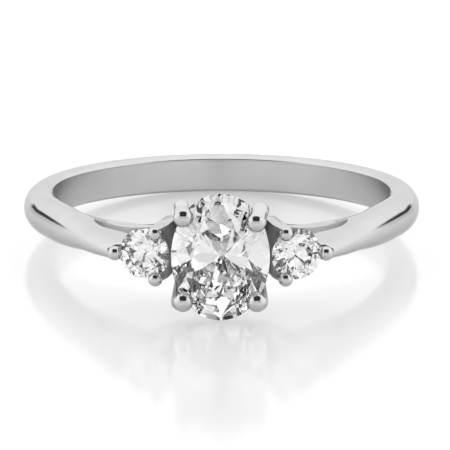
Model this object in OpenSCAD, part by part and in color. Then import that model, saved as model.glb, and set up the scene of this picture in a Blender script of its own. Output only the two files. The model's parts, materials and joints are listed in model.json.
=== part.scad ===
// Three-stone engagement ring: one cast and soldered mount with an oval
// brilliant between two round brilliants. Millimetres.
//
// The ring is built in its own frame: the finger goes along Z, the stones face
// -Y, and X runs across the finger. A setting is built with its stone's axis
// along Z and the finger along Y. The last step lays the whole ring on its side,
// as it rests on a table.

/* [Finger hole and band] */
// Inner diameter of the ring, size 54
finger_d = 17.2; // [16.5:0.1:18.0]
// Half the thickness of the wire that the band is drawn from, before its inside is flattened
wire_r = 0.94; // [0.88:0.01:1.0]
// Half the height of the band, along the finger
wire_half = 1.0; // [0.92:0.01:1.06]
// Thickness of the band, from finger to crest
band_t = 1.48; // [1.4:0.02:1.56]
// Thickness of the rail that runs on under the stones
rail_t = 0.93; // [0.85:0.01:1.0]
// Half the height of the rail beside the split
rail_waist = 0.59; // [0.54:0.01:0.64]
// Half the height of the base, where the rail spreads to carry the claws
base_half = 1.25; // [1.1:0.05:1.3]

/* [Oval stone] */
// Length of the oval, along the finger
oval_l = 6.15; // [6.0:0.05:6.3]
// Width of the oval, across the finger
oval_w = 4.7; // [4.6:0.05:4.8]
// Height of its girdle above the centre of the finger hole
oval_h = 12.83; // [12.6:0.01:13.0]

/* [Round stones] */
// Diameter of each round stone
round_d = 2.49; // [2.4:0.01:2.5]
// Distance of its centre from the middle plane
round_x = 3.62; // [3.6:0.01:3.7]
// Height of its girdle above the centre of the finger hole
round_h = 12.07; // [12.0:0.01:12.2]
// How far it leans outwards, in degrees
round_lean = 18; // [15:1:20]

/* [Claws] */
// Radius of the ball on each claw of the oval
claw_ball_r = 0.49; // [0.46:0.01:0.52]
// Radius of the shaft of each claw of the oval, at its foot
claw_r = 0.36; // [0.32:0.01:0.4]
// Radius of the ball on each claw of a round stone
small_ball_r = 0.345; // [0.32:0.005:0.37]
// Radius of the shaft of each claw of a round stone
small_claw_r = 0.25; // [0.22:0.01:0.28]
// Gap kept between metal and stone
stone_gap = 0.03; // [0.02:0.01:0.04]

/* [Hidden] */

metal_colour = "silver";
stone_colour = "aliceblue";

finger_r = finger_d / 2;
band_r = finger_r + band_t;
wire_centre_r = band_r - wire_r;
rail_r = finger_r + rail_t;
// The metal is made this far into the finger hole, and the bore then trims it.
bore_stock = 0.3;

// The band is whole wire up to this angle from the stones. Each shoulder starts
// just inside it, leaves the circle at the second angle, and rises on a wider arc.
band_end = 74;
leaves_circle = 68;
shoulder_arc_r = 64;

// Sections of a shoulder: [distance along it from where it leaves the circle, half
// its thickness, half its height, squareness, how much narrower it gets towards the
// finger]. The first lies inside the band.
shoulder_cuts = [
    [-2.1, wire_r - 0.02, wire_half - 0.02, 2, 0],
    [-1.1, wire_r - 0.004, wire_half - 0.003, 2, 0],
    [0.2, wire_r, wire_half - 0.01, 2, 0],
    [1.5, wire_r, wire_half - 0.03, 2.05, 0],
    [2.8, 0.97, 0.9, 2.1, 0.05],
    [4.2, 1.15, 0.78, 2.3, 0.1],
    [5.6, 1.4, 0.655, 2.4, 0.12],
    [7.0, 1.28, 0.55, 2.5, 0.15],
    [8.2, 1.15, 0.46, 2.5, 0.1],
    [8.9, 1.08, 0.41, 2.4, 0.1]
];
shoulder_sides = 24;

// Half-heights of the rail's flat top, as [distance across, half-height].
rail_edge = [
    [0, base_half],
    [1.9, base_half],
    [2.4, base_half - 0.13],
    [2.9, base_half - 0.35],
    [3.45, base_half - 0.56],
    [4.1, rail_waist + 0.01],
    [4.6, rail_waist],
    [5.0, rail_waist + 0.01],
    [5.5, rail_waist + 0.02],
    [6.0, rail_waist + 0.02],
    [6.7, rail_waist + 0.04],
    [7.7, rail_waist + 0.09],
    [9.5, rail_waist + 0.19]
];

// The wall between the oval and a round stone, as [across, height] from the
// round stone's inner claws down to the base: first the face towards the oval,
// then the face towards the split.
wall_inner = [[2.86, 12.45], [2.5, 11.5], [2.3, 10.5], [2.12, 9.75], [1.98, 9.2]];
wall_outer = [[2.62, 9.2], [2.9, 10.2], [3.15, 11.2], [3.42, 12.27]];
wall_half = 1.3;

// The bar under a round stone, from the wall out to the shoulder.
bar = [[2.9, 11.4], [4.6, 11.4], [5.0, 11.0], [5.9, 9.4], [6.1, 8.1], [2.7, 9.5]];
bar_half = 0.44;

// The split between shoulder and rail, from its sharp end to the wall.
split_roof = [
    [6.24, 7.25], [6.15, 7.85], [5.93, 8.4], [5.63, 8.78], [5.24, 9.05],
    [4.8, 9.22], [4.4, 9.4], [3.9, 9.6], [3.4, 9.8], [2.85, 9.95]
];
// Two corners inside the rail close its outline, and the rail itself is left whole.
split_floor = [[2.5, 8.6], [5.2, 6.6]];

// Claws of the oval. All four stand on a foot at [across, along the finger, height]
// and bend in over the stone. They were bent by hand, and no two are alike:
// [side, end, radius at the bend, bend, ball], both places as [across, along].
claw_foot = [1.72, 0.92, 9.1];
claw_bend_h = 12.4;
claw_ball_h = 13.4;
claws = [
    [-1, 1, 0.36, [1.87, 2.37], [1.76, 2.03]],
    [1, 1, 0.42, [1.9, 2.21], [1.69, 1.8]],
    [-1, -1, 0.39, [1.97, 2.2], [1.77, 2.05]],
    [1, -1, 0.39, [1.89, 2.2], [1.74, 2.05]]
];

// Claws of a round stone, about the stone's own centre: [angle, distance from the
// centre, how far the lower end leans in]. The first stands on the shoulder.
small_claws = [[0, 1.39, 0], [121, 1.25, 0.2], [240, 1.31, 0.2]];
small_claw_height = 0.34;
small_claw_drop = 0.95;

// The recess above a round stone's girdle, and the light hole behind the stone.
recess_h = 2;
recess_gap = 0.03;
light_hole_r = 0.35;
light_hole_h = 2;
light_hole_foot = -2.4;

// Brilliant cut, in shares of the girdle's radius. Angles are in degrees.
table_share = 0.57;
crown_angle = 34.5;
pavilion_angle = 40.75;
star_share = 0.5;
lower_half_share = 0.77;
girdle_share = 0.05;
mains = 8;
girdle_points = 32;

// The ring rests on the oval's end and on the far side of the band. The table
// touches that end and the oval outline of the wire, a length and a height away.
rest_reach = wire_centre_r + oval_h - girdle_share * oval_w / 4;
rest_rise = oval_l / 2;
rest_square = pow(rest_reach, 2) - pow(wire_r, 2);
rest_lean = atan((rest_reach * rest_rise
    - sqrt(pow(rest_reach * rest_rise, 2) - rest_square * (pow(rest_rise, 2) - pow(wire_half, 2))))
    / rest_square);
rest_lift = norm([wire_half * cos(rest_lean), wire_r * sin(rest_lean)])
    + wire_centre_r * sin(rest_lean);
front_y = min([for (c = claws)
    -claw_ball_h * cos(rest_lean) + c[1] * c[4][1] * sin(rest_lean) - claw_ball_r]);
back_y = wire_centre_r * cos(rest_lean) + norm([wire_r * cos(rest_lean), wire_half * sin(rest_lean)]);

// A point at an angle from the stones and a radius about the finger.
function about(angle, r) = [r * sin(angle), -r * cos(angle)];

// A point given as [across, height], in the ring's own plane.
function plan(p) = [p[0], -p[1]];

function reversed(list) = [for (i = [len(list) - 1:-1:0]) list[i]];

// Corners of the brilliant at one level: count points from a first angle.
function level(count, first, r, z) =
    [for (i = [0:count - 1]) let (a = first + 360 * i / count) [r * cos(a), r * sin(a), z]];

// A rod between two points, with a radius at each end.
module rod(from, to, r1, r2) {
    way = to - from;
    translate(from)
        rotate([0, acos(way[2] / norm(way)), atan2(way[1], way[0])])
            cylinder(h = norm(way), r1 = r1, r2 = r2, $fn = 48);
}

// From a setting's frame, with the stone's axis along Z, to the ring's.
module in_setting() {
    rotate([90, 0, 0]) children();
}

// The frame of the right-hand round stone, within the setting's frame.
module at_round_stone() {
    translate([round_x, 0, round_h]) rotate([0, round_lean, 0]) children();
}

module both_sides() {
    for (side = [0, 1]) mirror([side, 0, 0]) children();
}

// From the ring's own frame to the table that it lies on.
module laid_down() {
    translate([0, -(front_y + back_y) / 2, rest_lift])
        rotate([-rest_lean, 0, 0])
            children();
}

// A brilliant with its girdle at z = 0 and its table up: eight main facets,
// eight stars, sixteen halves above and below. grow makes a cutter of it.
module brilliant(length, width, grow = 0) {
    half_w = width / 2 + grow;
    half_l = length / 2 + grow;
    half = 180 / mains;
    girdle = girdle_share / 2 + grow / half_w;
    crown_rise = (1 - table_share) * tan(crown_angle);
    // A star's tip lies on the main facets either side of it, and so does the
    // tip of a pair of lower halves.
    edge_r = table_share * cos(half);
    star_r = edge_r + star_share * (1 - edge_r);
    star_z = girdle + (1 - star_r * cos(half)) * tan(crown_angle);
    lower_r = 1 - lower_half_share;
    lower_z = -girdle - (1 - lower_r * cos(half)) * tan(pavilion_angle);

    per_main = girdle_points / mains;
    table = level(mains, 0, table_share, girdle + crown_rise);
    stars = level(mains, half, star_r, star_z);
    top = level(girdle_points, 0, 1, girdle);
    bottom = level(girdle_points, 0, 1, -girdle);
    tips = level(mains, half, lower_r, lower_z);
    culet = [[0, 0, -girdle - tan(pavilion_angle)]];

    first_star = mains;
    first_top = 2 * mains;
    first_bottom = first_top + girdle_points;
    first_tip = first_bottom + girdle_points;
    culet_i = first_tip + mains;

    faces = concat(
        [[for (i = [mains - 1:-1:0]) i]],
        [for (i = [0:mains - 1]) [i, (i + 1) % mains, first_star + i]],
        [for (i = [0:mains - 1])
            [i, first_star + i, first_top + i * per_main, first_star + (i + mains - 1) % mains]],
        [for (i = [0:mains - 1], j = [0:per_main - 1]) [
            first_star + i,
            first_top + (i * per_main + j + 1) % girdle_points,
            first_top + i * per_main + j]],
        [for (k = [0:girdle_points - 1]) [
            first_top + k,
            first_top + (k + 1) % girdle_points,
            first_bottom + (k + 1) % girdle_points,
            first_bottom + k]],
        [for (i = [0:mains - 1], j = [0:per_main - 1]) [
            first_tip + i,
            first_bottom + i * per_main + j,
            first_bottom + (i * per_main + j + 1) % girdle_points]],
        [for (i = [0:mains - 1]) [
            culet_i,
            first_tip + (i + mains - 1) % mains,
            first_bottom + i * per_main,
            first_tip + i]]
    );
    scale_z = half_w;
    points = [for (p = concat(table, stars, top, bottom, tips, culet))
        [p[0] * half_w, p[1] * half_l, p[2] * scale_z]];
    polyhedron(points = points, faces = faces, convexity = 2);
}

module oval_in_place(grow = 0) {
    in_setting() translate([0, 0, oval_h]) brilliant(oval_l, oval_w, grow);
}

module round_in_place(grow = 0) {
    in_setting() at_round_stone() brilliant(round_d, round_d, grow);
}

// The band's plain wire, all the way round the back.
module band() {
    turn = 360 - 2 * band_end;
    rotate([0, 0, band_end - 90])
        rotate_extrude(angle = turn, $fn = 180)
            translate([wire_centre_r, 0]) scale([1, wire_half / wire_r]) circle(r = wire_r, $fn = 64);
}

// The outer face of the right-hand shoulder, as [point, outward direction] at a
// distance along it from where it leaves the circle.
function shoulder_face(s) =
    let (
        r = s < 0 ? band_r : shoulder_arc_r,
        a = leaves_circle - s / r * 180 / PI)
    [about(leaves_circle, band_r - r) + about(a, r), about(a, 1)];

// One section of the shoulder, a rounded outline standing on the path.
function shoulder_ring(cut) =
    let (face = shoulder_face(cut[0]), middle = face[0] - cut[1] * face[1])
    [for (k = [0:shoulder_sides - 1])
        let (
            a = 360 * k / shoulder_sides,
            power = 2 / cut[3],
            u = sign(cos(a)) * pow(abs(cos(a)), power),
            v = sign(sin(a)) * pow(abs(sin(a)), power) * (1 + cut[4] * u))
        [middle[0] + cut[1] * u * face[1][0], middle[1] + cut[1] * u * face[1][1], cut[2] * v]];

// The right-hand shoulder: the wire thins as it rises to the claw of the round stone.
module shoulder() {
    n = shoulder_sides;
    last = len(shoulder_cuts) - 1;
    points = [for (cut = shoulder_cuts, p = shoulder_ring(cut)) p];
    faces = concat(
        [[for (k = [0:n - 1]) k]],
        [for (i = [0:last - 1], k = [0:n - 1]) [i * n + k, (i + 1) * n + k, i * n + (k + 1) % n]],
        [for (i = [0:last - 1], k = [0:n - 1])
            [i * n + (k + 1) % n, (i + 1) * n + k, (i + 1) * n + (k + 1) % n]],
        [[for (k = [n - 1:-1:0]) last * n + k]]
    );
    polyhedron(points = points, faces = faces, convexity = 2);
}

// The rail runs on round the finger under the stones. Its top and bottom draw
// in to a waist, then spread into the base that the claws stand on.
module rail() {
    reach = 80;
    steps = 16;
    intersection() {
        linear_extrude(2 * wall_half, center = true)
            difference() {
                circle(r = rail_r, $fn = 180);
                circle(r = finger_r - bore_stock, $fn = 180);
                polygon(concat(
                    [[0, 0]],
                    [for (i = [0:steps]) about(reach + (360 - 2 * reach) * i / steps, 2 * rail_r)]));
            }
        rotate([90, 0, 0])
            linear_extrude(2 * rail_r)
                polygon(concat(
                    [for (p = rail_edge) [p[0], p[1]]],
                    [for (p = reversed(rail_edge)) [p[0], -p[1]]],
                    [for (p = rail_edge) [-p[0], -p[1]]],
                    [for (p = reversed(rail_edge)) [-p[0], p[1]]]));
    }
}

// The wall between the oval and the right-hand round stone.
module wall() {
    linear_extrude(2 * wall_half, center = true)
        polygon([for (p = concat(wall_inner, wall_outer)) plan(p)]);
}

// The bar that joins wall and shoulder under the right-hand round stone.
module seat_bar() {
    linear_extrude(2 * bar_half, center = true)
        polygon([for (p = bar) plan(p)]);
}

// The opening between shoulder and rail on the right.
module split() {
    linear_extrude(4 * wall_half, center = true)
        difference() {
            polygon([for (p = concat(split_roof, split_floor)) plan(p)]);
            circle(r = rail_r, $fn = 180);
        }
}

// Clears the metal above the girdle of the round stone, and drills the hole that
// lets light in behind it.
module round_recess() {
    in_setting() at_round_stone() {
        translate([0, 0, girdle_share * round_d / 4])
            cylinder(h = recess_h, r = round_d / 2 + stone_gap + recess_gap, $fn = 64);
        translate([0, 0, light_hole_foot])
            cylinder(h = light_hole_h, r = light_hole_r, $fn = 32);
    }
}

// The claws of the oval, each with its foot, its shaft, the bend outside the
// girdle, and the ball that its end is melted into.
module oval_claws() {
    in_setting()
        for (c = claws) {
            foot = [c[0] * claw_foot[0], c[1] * claw_foot[1], claw_foot[2]];
            bend = [c[0] * c[3][0], c[1] * c[3][1], claw_bend_h];
            tip = [c[0] * c[4][0], c[1] * c[4][1], claw_ball_h];
            rod(foot, bend, claw_r, c[2] - 0.01);
            translate(bend) sphere(r = c[2], $fn = 48);
            rod(bend, tip, c[2] - 0.015, c[2] + 0.01);
            translate(tip) sphere(r = claw_ball_r, $fn = 48);
        }
}

// The three claws of the right-hand round stone: one on the shoulder, and two on
// the upper corners of the wall.
module round_claws() {
    in_setting() at_round_stone()
        for (c = small_claws) rotate([0, 0, c[0]]) {
            top = [c[1], 0, small_claw_height];
            rod([c[1] - c[2], 0, -small_claw_drop], top, small_claw_r, small_claw_r);
            translate(top) sphere(r = small_ball_r, $fn = 48);
        }
}

module ring_mount() {
    color(metal_colour)
        laid_down()
            difference() {
                union() {
                    difference() {
                        union() {
                            band();
                            rail();
                            both_sides() {
                                shoulder();
                                wall();
                                seat_bar();
                            }
                        }
                        both_sides() {
                            split();
                            round_recess();
                        }
                    }
                    both_sides() round_claws();
                    oval_claws();
                }
                cylinder(h = 6 * wire_half, r = finger_r, center = true, $fn = 180);
                oval_in_place(stone_gap);
                both_sides() round_in_place(stone_gap);
            }
}

module oval_stone() {
    color(stone_colour) laid_down() oval_in_place();
}

module round_stone_left() {
    color(stone_colour) laid_down() mirror([1, 0, 0]) round_in_place();
}

module round_stone_right() {
    color(stone_colour) laid_down() round_in_place();
}

ring_mount();
oval_stone();
round_stone_left();
round_stone_right();
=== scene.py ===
import json
import math
import random

import bmesh
import bpy
from mathutils import Matrix, Vector


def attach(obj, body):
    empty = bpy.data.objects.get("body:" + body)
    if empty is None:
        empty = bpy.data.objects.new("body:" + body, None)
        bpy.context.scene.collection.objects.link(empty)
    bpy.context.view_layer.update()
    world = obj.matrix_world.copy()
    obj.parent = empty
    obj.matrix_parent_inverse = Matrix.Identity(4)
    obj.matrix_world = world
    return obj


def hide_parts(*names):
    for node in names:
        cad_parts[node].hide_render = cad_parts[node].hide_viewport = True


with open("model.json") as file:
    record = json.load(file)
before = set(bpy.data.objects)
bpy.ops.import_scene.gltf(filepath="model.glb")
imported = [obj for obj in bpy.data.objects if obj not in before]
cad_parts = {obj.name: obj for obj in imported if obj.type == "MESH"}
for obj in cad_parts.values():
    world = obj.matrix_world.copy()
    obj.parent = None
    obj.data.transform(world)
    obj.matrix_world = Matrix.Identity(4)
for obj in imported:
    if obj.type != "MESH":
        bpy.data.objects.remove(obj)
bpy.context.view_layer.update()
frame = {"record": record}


# The ring's place on the table, and the camera.
# The ring lies on its side and leans onto the end of its oval stone. The camera
# looks at the stones from a little above, with a long lens.
MM = 0.001
finger_hole = next(m for m in frame["record"]["mounts"] if m["name"] == "finger_bore")
RING_CENTRE = Vector(finger_hole["pos_m"])
LEAN = math.atan2(finger_hole["axis"][1], finger_hole["axis"][2])

CAMERA_UP = math.radians(11.08) + LEAN
CAMERA_ROUND = math.radians(0.25)
CAMERA_AWAY = 0.180
CAMERA_NEAR = 0.01
PICTURE_PIXELS = 450
PIXELS_PER_MM = 19.58
PIXELS_ACROSS, PIXELS_UP = 3.4, -19.8     # how far the picture is shifted
SENSOR = 36.0

camera_data = bpy.data.cameras.new("camera")
camera_data.sensor_width = SENSOR
camera_data.lens = PIXELS_PER_MM * CAMERA_AWAY / MM / PICTURE_PIXELS * SENSOR
camera_data.shift_x = PIXELS_ACROSS / PICTURE_PIXELS
camera_data.shift_y = PIXELS_UP / PICTURE_PIXELS
camera_data.clip_start = CAMERA_NEAR
camera = bpy.data.objects.new("camera", camera_data)
camera.location = RING_CENTRE + CAMERA_AWAY * Vector((
    math.sin(CAMERA_ROUND) * math.cos(CAMERA_UP),
    -math.cos(CAMERA_ROUND) * math.cos(CAMERA_UP),
    math.sin(CAMERA_UP)))
camera.rotation_euler = (math.radians(90) - CAMERA_UP, 0, CAMERA_ROUND)
bpy.context.collection.objects.link(camera)
bpy.context.scene.camera = camera


# The table and the light tent.
# A pale, slightly glossy table in a white tent. The tent is even overhead, behind and
# at the sides, duller low in front, and dark at a port and at a narrow gap each side.
class Finish:
    """One value in a finish: Python's operators on it add Math nodes."""

    def __init__(self, tree, socket=None):
        self.tree, self.socket = tree, socket

    def add(self, kind, settings=None, sockets=None, out=0):
        """Adds a node: its settings first, then the values or links of its sockets."""
        node = self.tree.nodes.new(kind)
        for name, value in (settings or {}).items():
            if name == "stops":
                for stop, (place, shade) in zip(node.color_ramp.elements, value):
                    stop.position = place
                    stop.color = shade if hasattr(shade, "__len__") else (shade, shade, shade, 1)
            else:
                setattr(node, name, value)
        for name, value in (sockets or {}).items():
            if isinstance(value, Finish):
                self.tree.links.new(value.socket, node.inputs[name])
            else:
                node.inputs[name].default_value = value
        return Finish(self.tree, node.outputs[out])

    def node_out(self, kind, sockets):
        """Adds a node with several outputs, and gives them by name."""
        first = self.add(kind, None, sockets)
        return lambda name: Finish(self.tree, first.socket.node.outputs[name])

    def maths(self, operation, *values):
        return self.add("ShaderNodeMath", {"operation": operation}, dict(enumerate(values)))

    def __add__(self, other):
        return self.maths("ADD", self, other)

    def __radd__(self, other):
        return self.maths("ADD", other, self)

    def __sub__(self, other):
        return self.maths("SUBTRACT", self, other)

    def __rsub__(self, other):
        return self.maths("SUBTRACT", other, self)

    def __mul__(self, other):
        return self.maths("MULTIPLY", self, other)

    def __rmul__(self, other):
        return self.maths("MULTIPLY", other, self)

    def __truediv__(self, other):
        return self.maths("DIVIDE", self, other)

    def step(self, low, high):
        """Rises smoothly from 0 to 1 as the value goes from low to high."""
        return self.add("ShaderNodeMapRange", {"interpolation_type": "SMOOTHSTEP"}, {
            "Value": self, "From Min": low, "From Max": high, "To Min": 0.0, "To Max": 1.0})


TENT_GLOW = 1.37
FRONT_LOW, FRONT_HIGH = 0.85, 1.25        # glow in front, low down and higher up
FRONT_CLIMB = (0.2, 0.5)                  # heights between which it brightens
FRONT_BREADTH = (0.2, 0.75)               # how squarely in front it sets in
FRONT_TOP = (0.75, 0.93)                  # heights between which it joins the top
PORT_UP = math.radians(59)
PORT_WIDE, PORT_TALL = math.tan(math.radians(39)), math.tan(math.radians(33))
PORT_EDGE = (0.85, 1.1)                   # its soft edge, as shares of its size
GAP_WAY = (0.656, 0.755)                  # which way it lies, across and back
GAP_EDGE = (0.981, 0.993)
GAP_LOW, GAP_HIGH = -0.03, 0.13
GAP_LOW_EDGE, GAP_HIGH_EDGE = 0.02, 0.015
DARKNESS = 0.96
LEAST_LEVEL, LEAST_AHEAD = 0.0001, 0.01   # keep the divisions off zero

world = bpy.data.worlds.new("light_tent")
world.use_nodes = True
bpy.context.scene.world = world
tent = Finish(world.node_tree)
way = tent.add("ShaderNodeTexCoord", out="Generated")
split_way = tent.node_out("ShaderNodeSeparateXYZ", {"Vector": way})
x, y, z = (split_way(axis) for axis in "XYZ")
off_middle = tent.maths("ABSOLUTE", x)
level = tent.maths("SQRT", tent.maths("MAXIMUM", 1 - z * z, LEAST_LEVEL))
in_front = ((-1.0 * y) / level).step(*FRONT_BREADTH) * (1 - z.step(*FRONT_TOP))
front_glow = FRONT_LOW + (FRONT_HIGH - FRONT_LOW) * z.step(*FRONT_CLIMB)
glow = TENT_GLOW + (front_glow - TENT_GLOW) * in_front

port_ahead = tent.maths("MAXIMUM", z * math.sin(PORT_UP) - y * math.cos(PORT_UP), LEAST_AHEAD)
port_rise = (z * math.cos(PORT_UP) + y * math.sin(PORT_UP)) / port_ahead
beside_port = (off_middle / port_ahead).step(*[PORT_WIDE * edge for edge in PORT_EDGE])
above_port = tent.maths("ABSOLUTE", port_rise).step(*[PORT_TALL * edge for edge in PORT_EDGE])
port = (1 - beside_port) * (1 - above_port)
gap_side = (off_middle * GAP_WAY[0] + y * GAP_WAY[1]) / level
gap = (gap_side.step(*GAP_EDGE) * z.step(GAP_LOW - GAP_LOW_EDGE, GAP_LOW)
       * (1 - z.step(GAP_HIGH - GAP_HIGH_EDGE, GAP_HIGH)))
glow = glow * (1 - DARKNESS * port) * (1 - DARKNESS * gap)
background = world.node_tree.nodes["Background"]
background.inputs["Color"].default_value = (1, 1, 1, 1)
world.node_tree.links.new(glow.socket, background.inputs["Strength"])


def new_finish(name):
    """A new material, its nodes to build on, and its shader."""
    material = bpy.data.materials.new(name)
    material.use_nodes = True
    return material, Finish(material.node_tree), material.node_tree.nodes["Principled BSDF"]


def even(shader, values):
    """Sets what is the same all over the surface, on the shader's own sockets."""
    for name, value in values.items():
        shader.inputs[name].default_value = value


def feed(shader, name, value):
    """Links a value that changes over the surface to one of the shader's sockets."""
    value.tree.links.new(value.socket, shader.inputs[name])


def put_in_scene(name, bm, *materials):
    """Makes the finished mesh an object with these materials."""
    mesh = bpy.data.meshes.new(name)
    bm.to_mesh(mesh)
    bm.free()
    for material in materials:
        mesh.materials.append(material)
    piece = bpy.data.objects.new(name, mesh)
    bpy.context.collection.objects.link(piece)
    return piece


# The table is lit from below as well, which shows as an even glow.
TABLE_HALF = 1.5
TABLE_GLOW = 0.36
TABLE_ROUGH, TABLE_ROUGHER = 0.13, 0.02

table_material, table_finish, table_shader = new_finish("pale_table")
table_place = table_finish.add("ShaderNodeTexCoord", out="Object")
table_mist = table_finish.add("ShaderNodeTexNoise", None, {
    "Vector": table_place, "Scale": 40.0, "Detail": 2.0})
feed(table_shader, "Roughness", TABLE_ROUGH + TABLE_ROUGHER * table_mist)
even(table_shader, {
    "Base Color": (0.6, 0.6, 0.6, 1), "IOR": 1.6, "Sheen Weight": 1.0, "Sheen Roughness": 0.3,
    "Emission Color": (1, 1, 1, 1), "Emission Strength": TABLE_GLOW})
table_bm = bmesh.new()
bmesh.ops.create_grid(table_bm, x_segments=2, y_segments=2, size=TABLE_HALF)
table = put_in_scene("table", table_bm, table_material)


# The stones.
# Three colourless brilliants: an oval and two rounds. Each is ground flat facet
# by flat facet from a cylinder of crystal, and its girdle is left frosted.
LAID_DOWN = (Matrix.Translation(RING_CENTRE) @ Matrix.Rotation(-LEAN, 4, "X")
             @ Matrix.Diagonal((MM, MM, MM, 1)))
IN_SETTING = Matrix.Rotation(math.radians(90), 4, "X")
OVAL_LONG, OVAL_WIDE, OVAL_HIGH = 6.15, 4.7, 12.83
ROUND_WIDE, ROUND_ACROSS, ROUND_HIGH = 2.49, 3.62, 12.07
ROUND_LEAN = math.radians(18)
AT_ROUND = (Matrix.Translation((ROUND_ACROSS, 0, ROUND_HIGH))
            @ Matrix.Rotation(ROUND_LEAN, 4, "Y"))
OTHER_SIDE = Matrix.Diagonal((-1, 1, 1, 1))

# The cut is worked out on a stone of radius 1 with its girdle in the middle.
MAINS = 8
TABLE_SHARE = 0.57
CROWN = math.radians(34.5)
PAVILION = math.radians(40.75)
STAR_SHARE = 0.5
LOWER_TIP = 0.23
HALF_GIRDLE = 0.025
GIRDLE_SIDES = 96
BLANK_DEEP = 3
OFF_TRUE = 0.03
SAME_PLACE = 1e-6
GIRDLE_UPRIGHT, GIRDLE_OUT = 0.1, 0.9


def turned(degrees):
    return Matrix.Rotation(math.radians(degrees), 4, "Z")


def at(angle, radius, height):
    return Vector((radius * math.cos(angle), radius * math.sin(angle), height))


def grind(bm, a, b, c, hand):
    """Grinds the crystal flat through three points, on the side away from its middle. The
    wheel is never quite true: hand draws how far this facet is off."""
    outward = (b - a).cross(c - a).normalized()
    if outward.dot(a) < 0:
        outward.negate()
    outward += Vector([hand.uniform(-OFF_TRUE, OFF_TRUE) for _ in range(3)])
    whole = bm.verts[:] + bm.edges[:] + bm.faces[:]
    cut = bmesh.ops.bisect_plane(bm, geom=whole, dist=SAME_PLACE, plane_co=a, plane_no=outward,
                                 clear_outer=True)["geom_cut"]
    rim = [e for e in cut if isinstance(e, bmesh.types.BMEdge) and e.is_boundary]
    bmesh.ops.contextual_create(bm, geom=rim)


def brilliant(length, width, placed, seed, grow=0.0):
    """The mesh of a brilliant, set in its place. grow makes it larger all round."""
    bm = bmesh.new()
    bmesh.ops.create_cone(bm, cap_ends=True, segments=GIRDLE_SIDES, radius1=1, radius2=1,
                          depth=BLANK_DEEP)
    hand = random.Random(seed)
    half = math.pi / MAINS
    edge_r = TABLE_SHARE * math.cos(half)
    star_r = edge_r + STAR_SHARE * (1 - edge_r)
    star_z = HALF_GIRDLE + (1 - star_r * math.cos(half)) * math.tan(CROWN)
    table_z = HALF_GIRDLE + (1 - TABLE_SHARE) * math.tan(CROWN)
    lower_z = -HALF_GIRDLE - (1 - LOWER_TIP * math.cos(half)) * math.tan(PAVILION)
    culet = Vector((0, 0, -HALF_GIRDLE - math.tan(PAVILION)))
    for i in range(MAINS):
        main, star = 2 * half * i, 2 * half * i + half
        grind(bm, at(main, 1, HALF_GIRDLE), at(main, TABLE_SHARE, table_z),
              at(star, star_r, star_z), hand)
        grind(bm, at(main, 1, -HALF_GIRDLE), culet, at(star, LOWER_TIP, lower_z), hand)
    for i in range(MAINS):
        main, star = 2 * half * i, 2 * half * i + half
        for side in (-1, 1):
            mid = star + side * half
            grind(bm, at(star, star_r, star_z), at(mid, 1, HALF_GIRDLE),
                  at(star, 1, HALF_GIRDLE), hand)
            grind(bm, at(star, LOWER_TIP, lower_z), at(mid, 1, -HALF_GIRDLE),
                  at(star, 1, -HALF_GIRDLE), hand)
        grind(bm, at(star, star_r, star_z), at(main, TABLE_SHARE, table_z),
              at(main + 2 * half, TABLE_SHARE, table_z), hand)
    # Any three points near the middle give the plane of the table.
    grind(bm, *[at(angle, 0.1, table_z) for angle in (0, 2, 4)], hand)
    for face in bm.faces:
        upright = abs(face.normal.z) < GIRDLE_UPRIGHT
        outside = face.calc_center_median().xy.length > GIRDLE_OUT
        face.material_index = 1 if upright and outside else 0
    size = Matrix.Diagonal((width / 2 + grow, length / 2 + grow, width / 2 + grow, 1))
    bmesh.ops.transform(bm, matrix=LAID_DOWN @ placed @ size, verts=bm.verts)
    bmesh.ops.recalc_face_normals(bm, faces=bm.faces)
    return bm


# From outside, part of the light goes in without being reflected, so that the
# surface does not veil the facets behind it.
CRYSTAL_IOR = 2.417
CLEAR_SHARE = 0.65

crystal_material, crystal_finish, crystal_shader = new_finish("polished_crystal")
even(crystal_shader, {"Transmission Weight": 1.0, "IOR": CRYSTAL_IOR, "Roughness": 0.0})
crystal_place = crystal_finish.add("ShaderNodeTexCoord", out="Object")
crystal_cloud = crystal_finish.add("ShaderNodeTexNoise", None, {
    "Vector": crystal_place, "Scale": 900.0, "Detail": 3.0})
crystal_tint = crystal_finish.add(
    "ShaderNodeValToRGB", {"stops": [(0.3, (0.93, 0.935, 0.94, 1)), (0.7, (0.96, 0.965, 0.97, 1))]},
    {"Fac": crystal_cloud})
feed(crystal_shader, "Base Color", crystal_tint)
crystal_inside = crystal_finish.node_out("ShaderNodeNewGeometry", {})("Backfacing")
crystal_clear = crystal_finish.add("ShaderNodeBsdfRefraction", None, {
    "IOR": CRYSTAL_IOR, "Roughness": 0.0, "Color": (0.98, 0.98, 0.98, 1)})
crystal_glossy = Finish(crystal_material.node_tree, crystal_shader.outputs["BSDF"])
crystal_whole = crystal_finish.add("ShaderNodeMixShader", None, {
    0: CLEAR_SHARE * (1 - crystal_inside), 1: crystal_glossy, 2: crystal_clear})
feed(crystal_material.node_tree.nodes["Material Output"], "Surface", crystal_whole)

GIRDLE_ROUGH, GIRDLE_ROUGHER = 0.25, 0.3
girdle_material, girdle_finish, girdle_shader = new_finish("frosted_girdle")
even(girdle_shader, {
    "Transmission Weight": 1.0, "IOR": CRYSTAL_IOR, "Base Color": (0.97, 0.975, 0.98, 1)})
girdle_place = girdle_finish.add("ShaderNodeTexCoord", out="Object")
girdle_grain = girdle_finish.add("ShaderNodeTexNoise", None, {
    "Vector": girdle_place, "Scale": 20000.0, "Detail": 2.0})
feed(girdle_shader, "Roughness", GIRDLE_ROUGH + GIRDLE_ROUGHER * girdle_grain)

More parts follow.
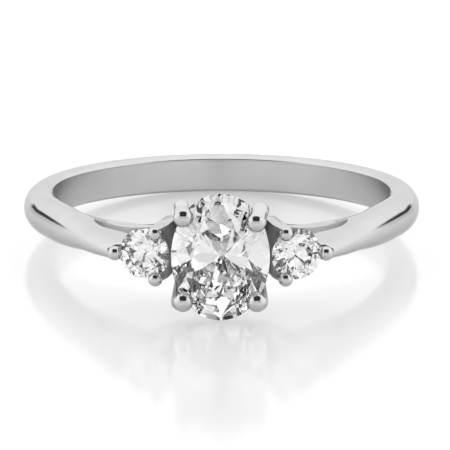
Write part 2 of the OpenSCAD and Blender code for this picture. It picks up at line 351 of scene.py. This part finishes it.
# Node, length, width, place in the ring, and the seed of the hand that grinds it.
STONES = [
    ("oval_stone", OVAL_LONG, OVAL_WIDE, IN_SETTING @ Matrix.Translation((0, 0, OVAL_HIGH)), 5),
    ("round_stone_right", ROUND_WIDE, ROUND_WIDE, IN_SETTING @ AT_ROUND @ turned(9), 7),
    ("round_stone_left", ROUND_WIDE, ROUND_WIDE,
     IN_SETTING @ OTHER_SIDE @ AT_ROUND @ turned(31), 2)]
for node, length, width, placed, seed in STONES:
    stone = put_in_scene(node + "_cut", brilliant(length, width, placed, seed),
                         crystal_material, girdle_material)
    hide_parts(node)
    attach(stone, "root")


# The band and its shoulders.
# Round white-gold wire, its inner face ground flat to fit the finger. At each side
# it leaves the circle and rises on a wide arc, thinning, to the outer claws.
FINGER_R = 8.6
BAND_R = 10.08
LEAVES_CIRCLE = math.radians(68)
SHOULDER_ARC_R = 64.0
# Distance from where it leaves the circle, half thickness, half height, squareness, and
# how much narrower it gets towards the finger.
SHOULDER_CUTS = [
    (-2.1, 0.94, 1.0, 2, 0), (-1.1, 0.94, 1.0, 2, 0), (0.2, 0.94, 0.99, 2, 0),
    (1.5, 0.94, 0.97, 2.05, 0), (2.8, 0.97, 0.9, 2.1, 0.05), (4.2, 1.15, 0.78, 2.3, 0.1),
    (5.6, 1.4, 0.655, 2.4, 0.12), (7.0, 1.28, 0.55, 2.5, 0.15), (8.2, 1.15, 0.46, 2.5, 0.1),
    (8.9, 1.08, 0.41, 2.4, 0.1)]
ON_CIRCLE = -3                            # any distance before the first cut
SHOULDER_LENGTH, SHOULDER_TIP = 8.9, 0.22
TIP_TURNS = (1.45, 1.15, 0.75, 0.35)      # angles of the outlines that dome its tip
SHOULDER_STEPS, BAND_STEPS = 32, 48
OUTLINE_ARC, OUTLINE_CORNER, OUTLINE_FLAT = 26, 4, 6
EDGE_ROUND, EDGE_SHARE = 0.04, 0.4        # rounding, and its most as a share of the height
LOWEST_SHARE = -0.97                      # how far round the wire the flat may begin


def flowing(rows, x):
    """The row at x of a table of numbers, along a smooth curve through its rows."""
    if x <= rows[0][0]:
        return list(rows[0][1:])
    if x >= rows[-1][0]:
        return list(rows[-1][1:])
    k = max(i for i in range(len(rows) - 1) if rows[i][0] <= x)
    (x0, *a), (x1, *b) = rows[k], rows[k + 1]
    before, after = rows[max(k - 1, 0)], rows[min(k + 2, len(rows) - 1)]
    span = x1 - x0
    u = (x - x0) / span
    found = []
    for j in range(len(a)):
        slope_a = (b[j] - before[j + 1]) / (x1 - before[0]) * span
        slope_b = (after[j + 1] - a[j]) / (after[0] - x0) * span
        found.append((2 * u**3 - 3 * u**2 + 1) * a[j] + (u**3 - 2 * u**2 + u) * slope_a
                     + (3 * u**2 - 2 * u**3) * b[j] + (u**3 - u**2) * slope_b)
    return found


def wire_outline(thick, high, power, narrowing, flat):
    """Half outline of the wire as (depth below the crest, height): round, then a corner, then
    the flat finger side. flat is the depth of the finger hole's wall."""
    share = max((flat + thick) / thick, LOWEST_SHARE)
    corner_angle = math.acos(math.copysign(abs(share) ** (power / 2), share))

    def on_arc(a):
        c, s = math.cos(a), math.sin(a)
        u = math.copysign(abs(c) ** (2 / power), c)
        return -thick + thick * u, high * abs(s) ** (2 / power) * (1 + narrowing * u)

    corner = on_arc(corner_angle)
    rounding = min(EDGE_ROUND, EDGE_SHARE * corner[1])
    start_angle = corner_angle - rounding / thick
    start, end = on_arc(start_angle), (corner[0], corner[1] - rounding)
    points = [on_arc(start_angle * i / OUTLINE_ARC) for i in range(OUTLINE_ARC + 1)]
    for i in range(1, OUTLINE_CORNER + 1):
        u = i / OUTLINE_CORNER
        points.append(tuple((1 - u)**2 * start[k] + 2 * u * (1 - u) * corner[k] + u * u * end[k]
                            for k in (0, 1)))
    points += [(end[0], end[1] * (1 - i / OUTLINE_FLAT)) for i in range(1, OUTLINE_FLAT + 1)]
    return points


def about(angle, r, z=0.0):
    """A point at an angle from the stones and a radius about the finger."""
    return Vector((r * math.sin(angle), -r * math.cos(angle), z))


def wire_ring(s, angle, scale=1.0, beyond=0.0):
    """The outline of the wire, standing on its path: at distance s along the shoulder, or
    at an angle round the band where s is negative."""
    thick, high, power, narrowing = flowing(SHOULDER_CUTS, s)
    crest = about(angle, BAND_R)
    if s > 0:
        angle = LEAVES_CIRCLE - (s + beyond) / SHOULDER_ARC_R
        crest = about(LEAVES_CIRCLE, BAND_R - SHOULDER_ARC_R) + about(angle, SHOULDER_ARC_R)
    out = about(angle, 1)
    inwards = crest.dot(out)
    flat = -inwards + math.sqrt(max(inwards**2 - crest.length_squared + FINGER_R**2, 0))
    half = wire_outline(thick, high, power, narrowing, flat)
    outline = half + [(t, -z) for t, z in reversed(half[1:-1])]
    return [crest + out * (-thick + (t + thick) * scale) + Vector((0, 0, z * scale))
            for t, z in outline]


def loft(bm, outlines):
    """A closed skin through a row of outlines."""
    rings = []
    for outline in outlines:
        verts = bmesh.ops.create_circle(bm, segments=len(outline), radius=1)["verts"]
        for vert, point in zip(verts, outline):
            vert.co = point
        rings.append(list({e for v in verts for e in v.link_edges}))
    for near, far in zip(rings, rings[1:]):
        bmesh.ops.bridge_loops(bm, edges=near + far)
    for end in (rings[0], rings[-1]):
        bmesh.ops.contextual_create(bm, geom=end)
    bmesh.ops.recalc_face_normals(bm, faces=bm.faces)


# Polished gold shines most at the stones, and is worn duller towards the back.
GOLD_ROUGH, GOLD_WORN, GOLD_CLOUDED = 0.09, 0.13, 0.04
GOLD_WORN_FROM, GOLD_WORN_TO = -0.001, 0.003
GOLD_EDGE = 0.00002
gold_material, gold_finish, gold_shader = new_finish("polished_white_gold")
even(gold_shader, {"Metallic": 1.0, "Specular Tint": (0.7, 0.7, 0.7, 1)})
gold_place = gold_finish.add("ShaderNodeTexCoord", out="Object")
gold_cloud = gold_finish.add("ShaderNodeTexNoise", None, {
    "Vector": gold_place, "Scale": 600.0, "Detail": 3.0})
feed(gold_shader, "Base Color", gold_finish.add(
    "ShaderNodeValToRGB", {"stops": [(0.3, 0.56), (0.7, 0.6)]}, {"Fac": gold_cloud}))
gold_along = gold_finish.node_out("ShaderNodeSeparateXYZ", {"Vector": gold_place})("Y")
gold_wear = gold_along.step(GOLD_WORN_FROM, GOLD_WORN_TO)
feed(gold_shader, "Roughness", GOLD_ROUGH + GOLD_WORN * gold_wear + GOLD_CLOUDED * gold_cloud)
feed(gold_shader, "Normal", gold_finish.add("ShaderNodeBevel", {"samples": 6}, {"Radius": GOLD_EDGE}))

# The skin left by the casting is dull. Its darker colour is painted shade, darkest in the middle of
# the setting, and it is painted paler away from the middle, a painted light in the splits and on the
# rail's outside.
SKIN_DARK_PAINTED_SHADE, SKIN_GRAINY, SKIN_PAINTED_LIGHT = 0.37, 0.12, 0.36
SKIN_PAINTED_LIGHT_FROM, SKIN_PAINTED_LIGHT_TO = 0.0035, 0.0046
SKIN_ROUGH, SKIN_ROUGHER = 0.42, 0.16
skin_painted_shade_material, skin_finish, skin_shader = new_finish("as_cast_gold_painted_shade")
even(skin_shader, {"Metallic": 1.0})
skin_place = skin_finish.add("ShaderNodeTexCoord", out="Object")
skin_grain = skin_finish.add("ShaderNodeTexNoise", None, {
    "Vector": skin_place, "Scale": 6000.0, "Detail": 4.0})
# Painted shade and painted light: dark across the middle of the setting, paler from 3.5 to 4.6 mm
# out.
painted_light_across = skin_finish.maths(
    "ABSOLUTE", skin_finish.node_out("ShaderNodeSeparateXYZ", {"Vector": skin_place})("X"))
skin_painted_shade_and_light = (SKIN_DARK_PAINTED_SHADE + SKIN_GRAINY * skin_grain
              + SKIN_PAINTED_LIGHT * painted_light_across.step(SKIN_PAINTED_LIGHT_FROM, SKIN_PAINTED_LIGHT_TO))
feed(skin_shader, "Base Color", skin_finish.add(
    "ShaderNodeCombineXYZ", None, {axis: skin_painted_shade_and_light for axis in range(3)}))
feed(skin_shader, "Roughness", SKIN_ROUGH + SKIN_ROUGHER * skin_grain)


def metal_shell(name, bm, placed=None):
    """One closed shell of metal, to be soldered to the others."""
    bmesh.ops.transform(bm, matrix=LAID_DOWN @ (placed or Matrix.Identity(4)), verts=bm.verts)
    bmesh.ops.recalc_face_normals(bm, faces=bm.faces)
    return put_in_scene(name, bm, gold_material, skin_painted_shade_material)


right_half = [wire_ring(SHOULDER_LENGTH, 0, math.cos(a), SHOULDER_TIP * math.sin(a))
              for a in TIP_TURNS]
right_half += [wire_ring(SHOULDER_LENGTH * (1 - i / SHOULDER_STEPS), 0)
               for i in range(SHOULDER_STEPS)]
right_half += [wire_ring(ON_CIRCLE, LEAVES_CIRCLE + (math.pi - LEAVES_CIRCLE) * i / BAND_STEPS)
               for i in range(BAND_STEPS + 1)]
left_half = [[Vector((-p.x, p.y, p.z)) for p in ring] for ring in reversed(right_half[:-1])]
band_bm = bmesh.new()
loft(band_bm, right_half + left_half)
band = metal_shell("band", band_bm)


# The rail and the base.
# The rail runs on round the finger under the stones, inside the shoulders. It
# draws in to a waist and spreads into the base that carries the claws.
RAIL_R = 9.53
RAIL_REACH = math.radians(78)
RAIL_STEPS = 90
RAIL_INNER_ROUND, RAIL_OUTER_ROUND = 0.18, 0.04
CORNER_POINTS = 6
# Its finger side sinks under the shoulder's, by this much, from and over these degrees.
RAIL_SINK, RAIL_SINK_FROM, RAIL_SINK_OVER = 0.03, 38, 8
RAIL_SKIN = 0.002                         # the cast skin, with its painted shade and painted light, is as near as this to its outside
# Distance across, and half height.
RAIL_EDGE = [
    (0.0, 1.25), (1.9, 1.25), (2.4, 1.12), (2.9, 0.9), (3.45, 0.69), (4.1, 0.6), (4.6, 0.59),
    (5.0, 0.6), (5.5, 0.61), (6.0, 0.61), (6.7, 0.63), (7.7, 0.68), (9.5, 0.78)]


def rounded_outline(low, high, half, low_round, high_round):
    """A rectangle from low to high across, and half each way, with rounded corners."""
    points = []
    for x, y, r, first in ((high, half, high_round, 0), (low, half, low_round, 90),
                           (low, -half, low_round, 180), (high, -half, high_round, 270)):
        centre = (x - math.copysign(r, x - (low + high) / 2), y - math.copysign(r, y))
        turns = [math.radians(first + 90 * i / (CORNER_POINTS - 1)) for i in range(CORNER_POINTS)]
        points += [(centre[0] + r * math.cos(a), centre[1] + r * math.sin(a)) for a in turns]
    return points


rail_outlines = []
for i in range(RAIL_STEPS + 1):
    angle = RAIL_REACH * (2 * i / RAIL_STEPS - 1)
    across = abs(RAIL_R * math.sin(angle))
    half = flowing(RAIL_EDGE, across)[0]
    sunk = min(max((abs(math.degrees(angle)) - RAIL_SINK_FROM) / RAIL_SINK_OVER, 0), 1)
    outline = rounded_outline(FINGER_R + RAIL_SINK * sunk, RAIL_R, half,
                              RAIL_INNER_ROUND, RAIL_OUTER_ROUND)
    rail_outlines.append([about(angle, r, z) for r, z in outline])
rail_bm = bmesh.new()
loft(rail_bm, rail_outlines)
for face in rail_bm.faces:
    middle = face.calc_center_median()
    face.material_index = 1 if middle.xy.length > RAIL_R - RAIL_SKIN else 0
rail = metal_shell("rail", rail_bm)


# The walls, the bars and the splits.
# A thin cast wall stands between the oval and each round stone. A bar joins it to the
# shoulder under the round stone, and a split stays open between shoulder and rail.
WALL = [(2.86, 12.45), (2.5, 11.5), (2.3, 10.5), (2.12, 9.75), (1.98, 9.2),
        (2.62, 9.2), (2.9, 10.2), (3.15, 11.2), (3.42, 12.27)]
WALL_HALF = 1.3
BAR = [(2.9, 11.4), (4.6, 11.4), (5.0, 11.0), (5.9, 9.4), (6.1, 8.1), (2.7, 9.5)]
BAR_HALF = 0.44
SPLIT_ROOF = [(6.24, 7.25), (6.15, 7.85), (5.93, 8.4), (5.63, 8.78), (5.24, 9.05), (4.8, 9.22),
              (4.4, 9.4), (3.9, 9.6), (3.4, 9.8), (2.85, 9.95)]
SPLIT_FLOOR_AT = (16.7, 19, 22, 25, 28, 31, 34, 37, 39, 40.7)   # degrees from the stones
SPLIT_FLOOR = [(RAIL_R * math.sin(math.radians(a)), RAIL_R * math.cos(math.radians(a)))
               for a in SPLIT_FLOOR_AT]
SPLIT_HALF = 3.0
PLATE_ROUND, PLATE_ROUND_STEPS = 0.05, 3
FLAT_SIDE = 0.5


def plate(name, corners, half, side, rounding=0.0):
    """A flat plate in the ring's own plane, from its corners as (across, height). Its two flat sides
    are polished, and its edges are left as cast, with painted shade and painted light in their
    colour."""
    bm = bmesh.new()
    rim = [bm.verts.new((side * x, -d, -half)) for x, d in corners]
    face = bmesh.ops.contextual_create(bm, geom=rim)["faces"][0]
    grown = bmesh.ops.extrude_face_region(bm, geom=[face])["geom"]
    bmesh.ops.translate(bm, vec=(0, 0, 2 * half),
                        verts=[g for g in grown if isinstance(g, bmesh.types.BMVert)])
    bmesh.ops.recalc_face_normals(bm, faces=bm.faces)
    if rounding:
        bmesh.ops.bevel(bm, geom=bm.edges[:], offset=rounding, segments=PLATE_ROUND_STEPS,
                        profile=0.5, affect="EDGES", material=-1, clamp_overlap=True)
    for face in bm.faces:
        face.material_index = 0 if abs(face.normal.z) > FLAT_SIDE else 1
    return metal_shell(name, bm)


walls, bars, splits = [], [], []
for side, word in ((-1, "left"), (1, "right")):
    walls.append(plate("wall_" + word, WALL, WALL_HALF, side, PLATE_ROUND))
    bars.append(plate("bar_" + word, BAR, BAR_HALF, side, PLATE_ROUND))
    splits.append(plate("split_" + word, SPLIT_ROOF + SPLIT_FLOOR, SPLIT_HALF, side))


# The claws.
# Four claws hold the oval and three hold each round stone. Each is a round wire,
# bent over the girdle and melted into a ball at its end.
CLAW_FOOT, CLAW_R = (1.72, 0.92, 9.1), 0.36
CLAW_BEND_HIGH = 12.4
CLAW_BALL_HIGH, CLAW_BALL_R = 13.4, 0.49
CLAW_MIDDLE = 0.55                        # share of the way from foot to bend
CLAW_KNEE, KNEE_OUT = 0.55, Vector((0.02, 0.06, 0))   # share from bend to ball, and its bulge
# Side, end, radius at the bend, and the bend and ball as across and along the finger.
CLAWS = [
    (-1, 1, 0.36, (1.87, 2.37), (1.76, 2.03)), (1, 1, 0.42, (1.9, 2.21), (1.69, 1.8)),
    (-1, -1, 0.39, (1.97, 2.2), (1.77, 2.05)), (1, -1, 0.39, (1.89, 2.2), (1.74, 2.05))]
# Angle round the stone, distance of the ball from its axis, and how far in the foot is.
SMALL_CLAWS = [(0, 1.39, 0), (121, 1.25, 0.2), (240, 1.31, 0.2)]
SMALL_HEIGHT, SMALL_MIDDLE, SMALL_DROP = 0.34, -0.3, -0.95
SMALL_MIDDLE_PARTS = 3                    # its middle is in by a third of what the foot is
SMALL_R, SMALL_BALL_R = 0.25, 0.345
CLAW_SIDES, CLAW_STEPS = 32, 6
BALL_SIDES, BALL_RINGS = 40, 24
FOOT_DOME = (-1.3, -0.85, -0.4)
HEAD_DOME = (0.25, 0.5, 0.75, 1.0, 1.25, 1.45)


def shaft(bm, path, radii):
    """A round wire along a smooth curve through the path's points, with domed ends."""
    rows = [(float(i), *p, r) for i, (p, r) in enumerate(zip(path, radii))]
    last = (len(path) - 1) * CLAW_STEPS
    stations = [flowing(rows, (len(path) - 1) * i / last) for i in range(last + 1)]
    centres = [Vector(s[:3]) for s in stations]
    outlines = []
    for i, (centre, s) in enumerate(zip(centres, stations)):
        along = (centres[min(i + 1, last)] - centres[max(i - 1, 0)]).normalized()
        side = along.cross(Vector((1, 0, 0))).normalized()
        turn = Matrix((side, along.cross(side), along)).transposed()
        foot = FOOT_DOME if i == 0 else ()
        head = HEAD_DOME if i == last else ()
        for end in (*foot, 0.0, *head):
            r, shift = s[3] * math.cos(end), s[3] * math.sin(end)
            outlines.append([centre + turn @ Vector((r * math.cos(a), r * math.sin(a), shift))
                             for a in (2 * math.pi * k / CLAW_SIDES for k in range(CLAW_SIDES))])
    loft(bm, outlines)


claws = []
for side, end, bend_r, bend, tip in CLAWS:
    claw_bm = bmesh.new()
    bend, tip = Vector((*bend, CLAW_BEND_HIGH)), Vector((*tip, CLAW_BALL_HIGH))
    knee = bend.lerp(tip, CLAW_KNEE) + KNEE_OUT
    shaft(claw_bm, [CLAW_FOOT, Vector(CLAW_FOOT).lerp(bend, CLAW_MIDDLE), bend, knee, tip],
          [CLAW_R, CLAW_R, bend_r, bend_r, CLAW_BALL_R])
    claws.append(metal_shell("claw", claw_bm, IN_SETTING @ Matrix.Diagonal((side, end, 1, 1))))
for side in (-1, 1):
    for turn, pitch, foot_in in SMALL_CLAWS:
        here = IN_SETTING @ Matrix.Diagonal((side, 1, 1, 1)) @ AT_ROUND @ turned(turn)
        small_bm = bmesh.new()
        shaft(small_bm, [(pitch - foot_in, 0, SMALL_DROP),
                         (pitch - foot_in / SMALL_MIDDLE_PARTS, 0, SMALL_MIDDLE),
                         (pitch, 0, SMALL_HEIGHT)], [SMALL_R, SMALL_R, SMALL_R])
        claws.append(metal_shell("small_claw", small_bm, here))
        ball_bm = bmesh.new()
        bmesh.ops.create_uvsphere(ball_bm, u_segments=BALL_SIDES, v_segments=BALL_RINGS,
                                  radius=SMALL_BALL_R,
                                  matrix=Matrix.Translation((pitch, 0, SMALL_HEIGHT)))
        claws.append(metal_shell("small_claw_ball", ball_bm, here))


# The soldered mount.
# All the metal is cast and soldered into one piece of white gold, then filed,
# polished and cut back where the stones sit.
STONE_GAP = 0.03
SAME_CORNER = 1e-7
SHARP_FROM = math.radians(32)
NO_ANGLE = 3                              # stands for an edge without two faces: sharp


def solder(base, others, operation):
    """Joins the other shells to the first, or cuts them out of it."""
    for other in others:
        step = base.modifiers.new("solder", "BOOLEAN")
        step.operation, step.solver, step.object = operation, "MANIFOLD", other
        depsgraph = bpy.context.evaluated_depsgraph_get()
        mesh = bpy.data.meshes.new_from_object(base.evaluated_get(depsgraph))
        base.modifiers.clear()
        base.data = mesh
        bpy.data.objects.remove(other)


seats = [put_in_scene("seat", brilliant(length, width, placed, seed, STONE_GAP))
         for node, length, width, placed, seed in STONES]
mount = band
solder(mount, walls + bars, "UNION")
solder(mount, splits, "DIFFERENCE")
solder(mount, [rail] + claws, "UNION")
solder(mount, seats, "DIFFERENCE")
mount.name = "white_gold_mount"
mount.data.name = "white_gold_mount"

# A corner with only two edges is left over from the joining, on a straight edge.
mount_bm = bmesh.new()
mount_bm.from_mesh(mount.data)
bmesh.ops.remove_doubles(mount_bm, verts=mount_bm.verts, dist=SAME_CORNER)
between_corners = [v for v in mount_bm.verts if len(v.link_edges) == 2]
bmesh.ops.dissolve_verts(mount_bm, verts=between_corners)
for face in mount_bm.faces:
    face.smooth = True
for edge in mount_bm.edges:
    edge.smooth = edge.calc_face_angle(NO_ANGLE) < SHARP_FROM
mount_bm.to_mesh(mount.data)
mount_bm.free()

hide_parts("ring_mount")
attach(mount, "root")


# The picture's tones, and the light's bounces.
# Light passes many times through the stones before it leaves them.
scene = bpy.context.scene
scene.view_settings.view_transform = "Standard"
scene.cycles.max_bounces = 32
scene.cycles.transmission_bounces = 28
scene.cycles.glossy_bounces = 12
